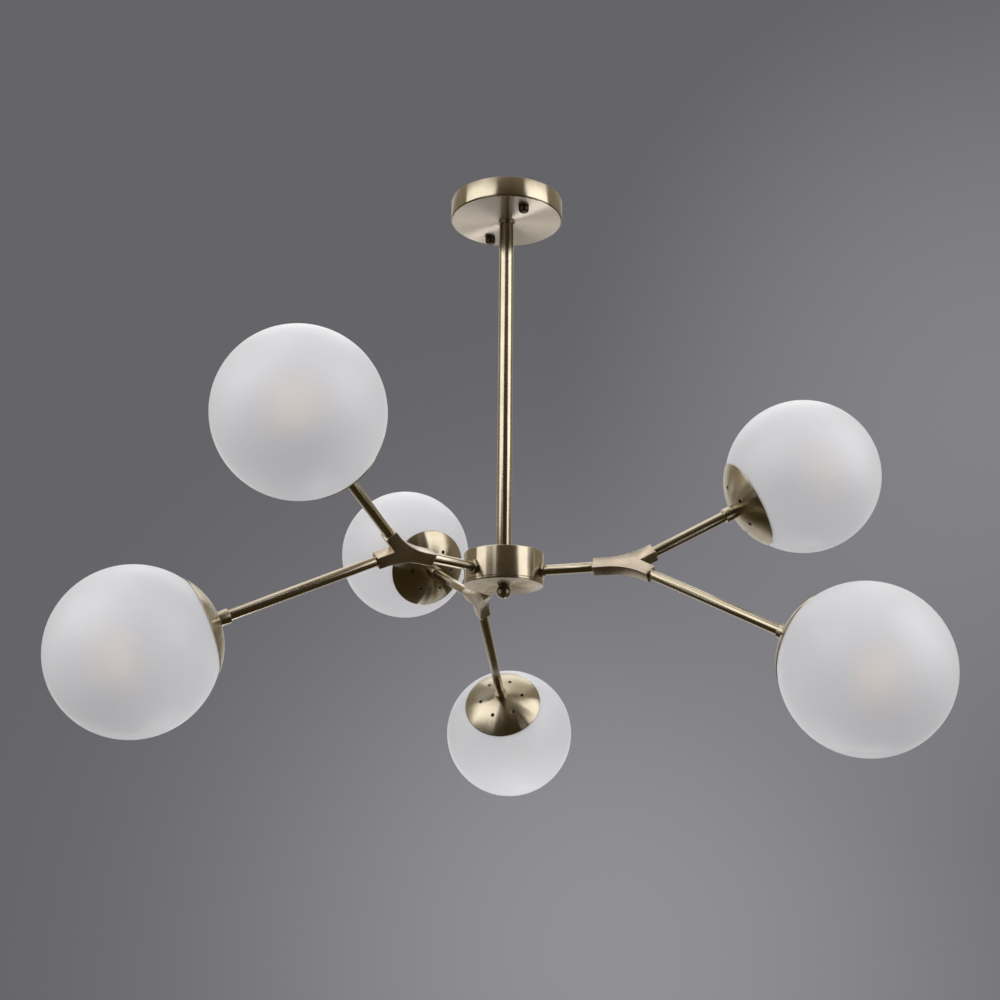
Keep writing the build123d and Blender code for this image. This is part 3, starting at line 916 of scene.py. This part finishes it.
# %% [markdown]
# ## Cups
# A cup is a shallow cap of sheet brass, and a ring of six small vents lets the bulb's heat out. A vent
# could be cut by a Boolean, but that leaves thin slivers that shade badly on a curve. Here a small window
# of faces is opened in the spun cap, and its rim is drawn in, ring by ring, to a true circle on the same
# sphere. The sheet gets its thickness afterwards, so every vent has its own wall.

# %% Cup
VENT_R = 0.002
VENT_RING_R = 0.0246
VENTS = 6
COLUMNS = 24
ROWS_TO_VENTS = 18
ROWS_TO_RIM = 21
SPAN = 3
RINGS = (1.35, 1.12, 1)
CUP_EDGE = 0.00025
centre = Vector((0, 0, CAP_Z))
hole_tilt = asin(ARM_HOLE / CAP_R)
vent_tilt = asin(VENT_RING_R / CAP_R)
rim_tilt = asin(CUP_RIM_R / CAP_R)


def open_vent(shape, turn):
    """Open a window of faces in the cap, and draw its rim in to a round vent."""
    axis = Vector((sin(vent_tilt) * cos(turn), sin(vent_tilt) * sin(turn), -cos(vent_tilt)))
    window = []
    for face in shape.faces:
        way = (face.calc_center_median() - centre).normalized()
        columns_off = ((atan2(way.y, way.x) - turn + pi) % (2 * pi) - pi) / (2 * pi) * VENTS * COLUMNS
        rows_off = (acos(-way.z) - vent_tilt) / (vent_tilt - hole_tilt) * ROWS_TO_VENTS
        if abs(columns_off) < SPAN and abs(rows_off) < SPAN:
            window.append(face)
    uses = {}
    for face in window:
        for edge in face.edges:
            uses[edge] = uses.get(edge, 0) + 1
    rim = [edge for edge, count in uses.items() if count == 1]
    bmesh.ops.delete(shape, geom=window, context="FACES")
    for share in RINGS:
        drawn = bmesh.ops.extrude_edge_only(shape, edges=rim)["geom"]
        rim = [part for part in drawn if isinstance(part, bmesh.types.BMEdge)]
        for vert in verts_of(drawn):
            hinge = axis.cross((vert.co - centre).normalized()).normalized()
            vert.co = centre + Quaternion(hinge, asin(VENT_R * share / CAP_R)) @ axis * CAP_R


shape = bmesh.new()
tip = pen(shape, ARM_HOLE, CAP_Z - sqrt(CAP_R**2 - ARM_HOLE**2))
tip = arc(shape, tip, 0, CAP_Z, vent_tilt - hole_tilt, ROWS_TO_VENTS)
arc(shape, tip, 0, CAP_Z, rim_tilt - vent_tilt, ROWS_TO_RIM)
spin_round(shape, VENTS * COLUMNS)
for number in range(VENTS):
    open_vent(shape, 2 * pi * (number + 0.5) / VENTS)
bmesh.ops.recalc_face_normals(shape, faces=shape.faces)
for face in shape.faces:
    if face.normal.dot(face.calc_center_median() - centre) < 0:
        face.normal_flip()
bmesh.ops.solidify(shape, geom=shape.faces[:], thickness=SHEET)
break_edges(shape, CUP_EDGE, segments=2, angle=50)
wrap(shape)
depths = [(vert.co - centre).length for vert in shape.verts]
print("cup wall from", round(min(depths), 5), "to", round(max(depths), 5))

# %% Threaded ring inside the cup
NECK_R = 0.030
SHOULDER_R = 0.0425
SEAL_H = 0.0012
SEAL_GAP = 0.00005
RING_WALL = 0.0018
RING_SINK = SHEET / 8
SHOULDER_Z = -sqrt(GLOBE_R**2 - SHOULDER_R**2)
THREAD_R = NECK_R + GLASS_GAP
ring_root = CAP_Z - sqrt((CAP_R - SHEET) ** 2 - THREAD_R**2) - RING_SINK
ring_top = SHOULDER_Z - SEAL_H - SEAL_GAP
add_to(shape, turned_ring(THREAD_R, THREAD_R + RING_WALL, ring_root, ring_top, SHEET_EDGE))
cup_mesh = mesh_from(shape, "cup")
# The faces inside the cup get the dark bronze: painted shade, so that the vents look dark.
painted_shade_faces = [face.index for face in cup_mesh.polygons if (face.center - centre).length < CAP_R - SHEET / 4
          and face.center.xy.length < CUP_RIM_R - SHEET]
for cup in hang_on_lamps("_cup_shell", cup_mesh, "_cup", cup_brass):
    cup.data.materials.append(bronze_and_painted_shade)
    for index in painted_shade_faces:
        cup.data.polygons[index].material_index = 1
print("cups:", len(lamp_place), "of", len(cup_mesh.polygons), "faces")

# %% [markdown]
# ## Globes
# The globes are blown glass, etched to a soft white. A neck with a thread screws into the cup's ring. The
# sphere is cut flat at the shoulder, the cut's rim is drawn in and down to form the neck, and the wall is
# made last. The sphere's rows are counted so that one of them lies at the cut, because a sliver of a row
# would shade badly. The frost is a white glass that lets some light through very roughly, so the bulb
# shows only as a faint warm spot.

# %% Frosted glass
frost, tree = new_material("frosted_glass")
place = node(tree, "TexCoord").outputs["Object"]
etch = node(tree, "TexNoise", Vector=place, Scale=900.0, Detail=4.0)
relief = node(tree, "Bump", Strength=0.12, Distance=0.00005, Height=etch.outputs["Fac"])
drift = node(tree, "TexNoise", Vector=place, Scale=14.0, Detail=3.0).outputs["Fac"]
milk = blend(tree, drift, (0.855, 0.86, 0.887), (0.905, 0.91, 0.942))
haze = ramp(tree, drift, 0, 1, start=0.50, end=0.62)
surface(tree, Base_Color=milk, Roughness=haze, Normal=relief.outputs["Normal"], IOR=1.45,
        Transmission_Weight=0.36, Coat_Weight=0.5, Coat_Roughness=0.35, Coat_IOR=1.5, Sheen_Weight=0.5,
        Sheen_Roughness=0.40)
print("glass:", frost.name)

# %% Globe
GLASS = 0.0025
NECK_H = 0.008
SHOULDER_EDGE = 0.001
LIP_EDGE = 0.0008
GLOBE_COLUMNS = 128
ROWS_TO_CUT = 14
CUT_NEAR = 2e-5
rows = round(ROWS_TO_CUT * pi / asin(SHOULDER_R / GLOBE_R))
neck_z = SHOULDER_Z - NECK_H
shape = bmesh.new()
bmesh.ops.create_uvsphere(shape, u_segments=GLOBE_COLUMNS, v_segments=rows, radius=GLOBE_R)
bmesh.ops.bisect_plane(shape, geom=shape.verts[:] + shape.edges[:] + shape.faces[:], dist=CUT_NEAR,
                       plane_co=(0, 0, SHOULDER_Z), plane_no=(0, 0, 1), clear_inner=True)
for height in (SHOULDER_Z, neck_z):
    rim = [edge for edge in shape.edges if edge.is_boundary]
    for vert in verts_of(bmesh.ops.extrude_edge_only(shape, edges=rim)["geom"]):
        vert.co.xy = vert.co.xy.normalized() * NECK_R
        vert.co.z = height
bmesh.ops.recalc_face_normals(shape, faces=shape.faces)
break_edges(shape, SHOULDER_EDGE, segments=4, angle=30)
bmesh.ops.solidify(shape, geom=shape.faces[:], thickness=GLASS)
break_edges(shape, LIP_EDGE, angle=60, chosen=lambda a, b: a.z < neck_z + NEAR)
globe_mesh = mesh_from(shape, "globe", smooth=50)
hang_on_lamps("_glass", globe_mesh, "_globe", frost, loose=True, slot="frosted_glass")
print("globes:", len(lamp_place), "of", len(globe_mesh.polygons), "faces")

# %% [markdown]
# ## Lampholders and bulbs
# Behind the glass a black holder with a screwed and fluted body stands on each arm's end, and a small
# opal bulb is screwed into it. The bulb is lit, but far more weakly than the studio, and its front is
# what glows through the frost. The rest comes to light as soon as a globe is taken off. A thread is a
# small ridge that climbs as it goes round, so the spin operator makes it, with a lift at each step.

# %% Plastics
LAMP_LIGHT = (1.0, 0.55, 0.22)


def moulded(name, low, high, smooth, rough, grains, depth, glow=0.0):
    """A moulded plastic with a fine skin and faint clouds. It may glow like a lamp that is lit."""
    material, tree = new_material(name)
    place = node(tree, "TexCoord").outputs["Object"]
    cloud = node(tree, "TexNoise", Vector=place, Scale=60.0)
    pores = node(tree, "TexNoise", Vector=place, Scale=grains).outputs["Fac"]
    relief = node(tree, "Bump", Strength=0.2, Distance=depth, Height=pores)
    surface(tree, Base_Color=blend(tree, cloud.outputs["Fac"], low, high),
            Roughness=ramp(tree, pores, 0, 1, smooth, rough), Normal=relief.outputs["Normal"],
            Emission_Color=LAMP_LIGHT, Emission_Strength=glow)
    return material


black = moulded("holder_plastic", (0.018, 0.018, 0.019), (0.032, 0.032, 0.033), smooth=0.38, rough=0.55,
                grains=1800, depth=0.00003)
opal = moulded("opal_bulb", (0.86, 0.78, 0.68), (0.90, 0.82, 0.72), smooth=0.30, rough=0.42,
               grains=500, depth=0.00002)
lit_opal = moulded("lit_opal", (0.86, 0.62, 0.46), (0.90, 0.68, 0.52), smooth=0.30, rough=0.42,
                   grains=500, depth=0.00002, glow=1.45)
white_block = moulded("block_plastic", (0.76, 0.76, 0.72), (0.84, 0.84, 0.80), smooth=0.40, rough=0.55,
                      grains=1500, depth=0.00003)
soft_ring = moulded("silicone", (0.60, 0.60, 0.58), (0.68, 0.68, 0.66), smooth=0.50, rough=0.65,
                    grains=900, depth=0.00002)
print("plastics:", black.name, opal.name, lit_opal.name, white_block.name, soft_ring.name)

# %% Threads
RIDGE_H = 0.0005
RIDGE_SINK = 0.0001
CREST_START = 0.3
CREST_END = 0.5
RIDGE_END = 0.8


def thread(shape, crest, pitch, low, turns, steps=48):
    """A ridge that climbs round the axis, added to the shape. It is wound in its own shape first."""
    root = crest - RIDGE_H - RIDGE_SINK
    coil = bmesh.new()
    tip = pen(coil, root, low)
    tip = line(coil, tip, crest, low + pitch * CREST_START)
    tip = line(coil, tip, crest, low + pitch * CREST_END)
    line(coil, tip, root, low + pitch * RIDGE_END)
    bmesh.ops.spin(coil, geom=coil.verts[:] + coil.edges[:], cent=(0, 0, 0), axis=(0, 0, 1),
                   dvec=(0, 0, pitch / steps), angle=2 * pi * turns, steps=turns * steps,
                   use_merge=False, use_duplicate=False)
    bmesh.ops.holes_fill(coil, edges=[edge for edge in coil.edges if edge.is_boundary], sides=4)
    bmesh.ops.recalc_face_normals(coil, faces=coil.faces)
    wrap(coil)
    add_to(shape, coil)


print("thread tool ready")

# %% Lampholder
HOLDER_H = 0.054
HOLDER_R = 0.0135
FOOT_H = 0.010
SOCKET_R = 0.0075
SOCKET_DEPTH = 0.027
WIRE_R = 0.002
SCREWED_H = 0.022
STEP_H = 0.001
RIBS = 30
RIB_SHARE = 0.97
FLANGE_H = 0.001
FLANGE_RISE = 0.0003
FLANGE_GAP = 0.0008
FLANGE_ROOT = 0.95
HOLDER_TOP = HOLDER_Z + HOLDER_H
SOCKET_Z = HOLDER_TOP - SOCKET_DEPTH
entry_z = HOLDER_Z + ENTRY_H
step_z = HOLDER_TOP - SCREWED_H
root_r = HOLDER_R - RIDGE_H
shape = lathe(2 * RIBS, (ARM_HOLE, HOLDER_Z), (FOOT_R, HOLDER_Z), (HOLDER_R, HOLDER_Z + FOOT_H),
              (HOLDER_R, step_z - STEP_H), (root_r, step_z), (root_r, HOLDER_TOP), (SOCKET_R, HOLDER_TOP),
              (SOCKET_R, SOCKET_Z), (WIRE_R, SOCKET_Z), (WIRE_R, entry_z), (ARM_HOLE, entry_z))
flute(shape, RIBS, HOLDER_R, RIB_SHARE)
wrap(shape)
thread(shape, HOLDER_R, pitch=0.003, low=step_z + STEP_H, turns=6)
flange_z = neck_z + FLANGE_RISE
flange_r = NECK_R - GLASS - FLANGE_GAP
flange = turned_ring(HOLDER_R * FLANGE_ROOT, flange_r, flange_z, flange_z + FLANGE_H, TUBE_EDGE, 2 * RIBS)
add_to(shape, flange)
holder_mesh = mesh_from(shape, "holder")
hang_on_lamps("_holder", holder_mesh, "_lampholder", black, slot="holder_plastic")
print("holders:", len(lamp_place), "of", len(holder_mesh.polygons), "faces")

# %% Bulb
BULB_LENGTH = 0.078
BULB_R = 0.0225
BULB_NECK_R = 0.010
BULB_EDGE = 0.0012
WAIST = asin(0.6)
SCREW_R = 0.0069
SCREW_START = 0.0045
LIT_SHARE = 0.15
BULB_STEPS = 72
BULB_Z = SOCKET_Z + BULB_LENGTH - BULB_R
LIT_Z = BULB_Z - BULB_R * LIT_SHARE
screw_root = SCREW_R - RIDGE_H
glass_z = HOLDER_TOP + STEP_H
waist_r = BULB_R * cos(WAIST)
waist_z = BULB_Z - BULB_R * sin(WAIST)
cone_z = waist_z - (waist_r - BULB_NECK_R) / tan(WAIST)
shape = bmesh.new()
tip = pen(shape, 0, SOCKET_Z)
for radius, height in ((SCREW_R / 2, SOCKET_Z), (screw_root, SOCKET_Z + SCREW_R / 2), (screw_root, glass_z),
                       (BULB_NECK_R, glass_z), (BULB_NECK_R, cone_z), (waist_r, waist_z)):
    tip = line(shape, tip, radius, height)
arc(shape, tip, 0, BULB_Z, pi / 2 + WAIST, steps=30)
spin_round(shape, BULB_STEPS)
break_edges(shape, BULB_EDGE, angle=25, chosen=lambda a, b: min(a.z, b.z) > glass_z + NEAR)
wrap(shape)
thread(shape, SCREW_R, pitch=0.0028, low=SOCKET_Z + SCREW_START, turns=6)
bulb_mesh = mesh_from(shape, "bulb")
heights = [face.center.z for face in bulb_mesh.polygons]
for bulb in hang_on_lamps("_opal_bulb", bulb_mesh, "_bulb", opal, slot="bulb_plastic"):
    bulb.data.materials.append(brass)
    bulb.data.materials.append(lit_opal)
    for face, height in zip(bulb.data.polygons, heights):
        if height < glass_z - FACE_NEAR:
            face.material_index = 1
        elif height > LIT_Z:
            face.material_index = 2
print("bulbs:", len(lamp_place), "of", len(bulb_mesh.polygons), "faces, tip", round(BULB_Z + BULB_R, 4))

# %% [markdown]
# ## What stays of the solid model
# The bracket, its studs, the nuts on the pipe, the pipe, the two connector blocks and the seal rings are
# hidden in use, and their solid shapes are already right. They keep their meshes and only get a finish.
# Zinc plating shows faint crystals, which a Voronoi texture draws well.

# %% Zinc plating
zinc, tree = new_material("zinc_steel")
place = node(tree, "TexCoord").outputs["Object"]
crystals = node(tree, "TexVoronoi", Vector=place, Scale=420.0).outputs["Color"]
tone = blend(tree, crystals, (0.50, 0.51, 0.53), (0.62, 0.63, 0.64))
surface(tree, Base_Color=tone, Metallic=1.0, Roughness=ramp(tree, crystals, 0, 1, 0.28, 0.45))
print("zinc:", zinc.name)

# %% Finishes on the solid nodes
KEPT = {"ceiling_bracket": zinc, "bracket_studs": zinc, "rod_nuts": zinc, "lamp_pipe": zinc,
        "terminal_block": white_block, "hub_connector": white_block}
for side, level in lamp_place:
    KEPT[side + "_" + level + "_seal"] = soft_ring
for name, finish in KEPT.items():
    solid = frame["nodes"][name]
    for slot in solid.material_slots:
        slot.material = finish
    if not solid.material_slots:
        solid.data.materials.append(finish)
print("solid nodes kept:", len(KEPT))

# %% [markdown]
# ## Sizes
# The new pieces must stay within the solid model's box, because the box is what the object needs to fit.

# %% Print the box of the pieces
bpy.context.view_layer.update()
low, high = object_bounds()
print("box", [round(v, 4) for v in low], [round(v, 4) for v in high])
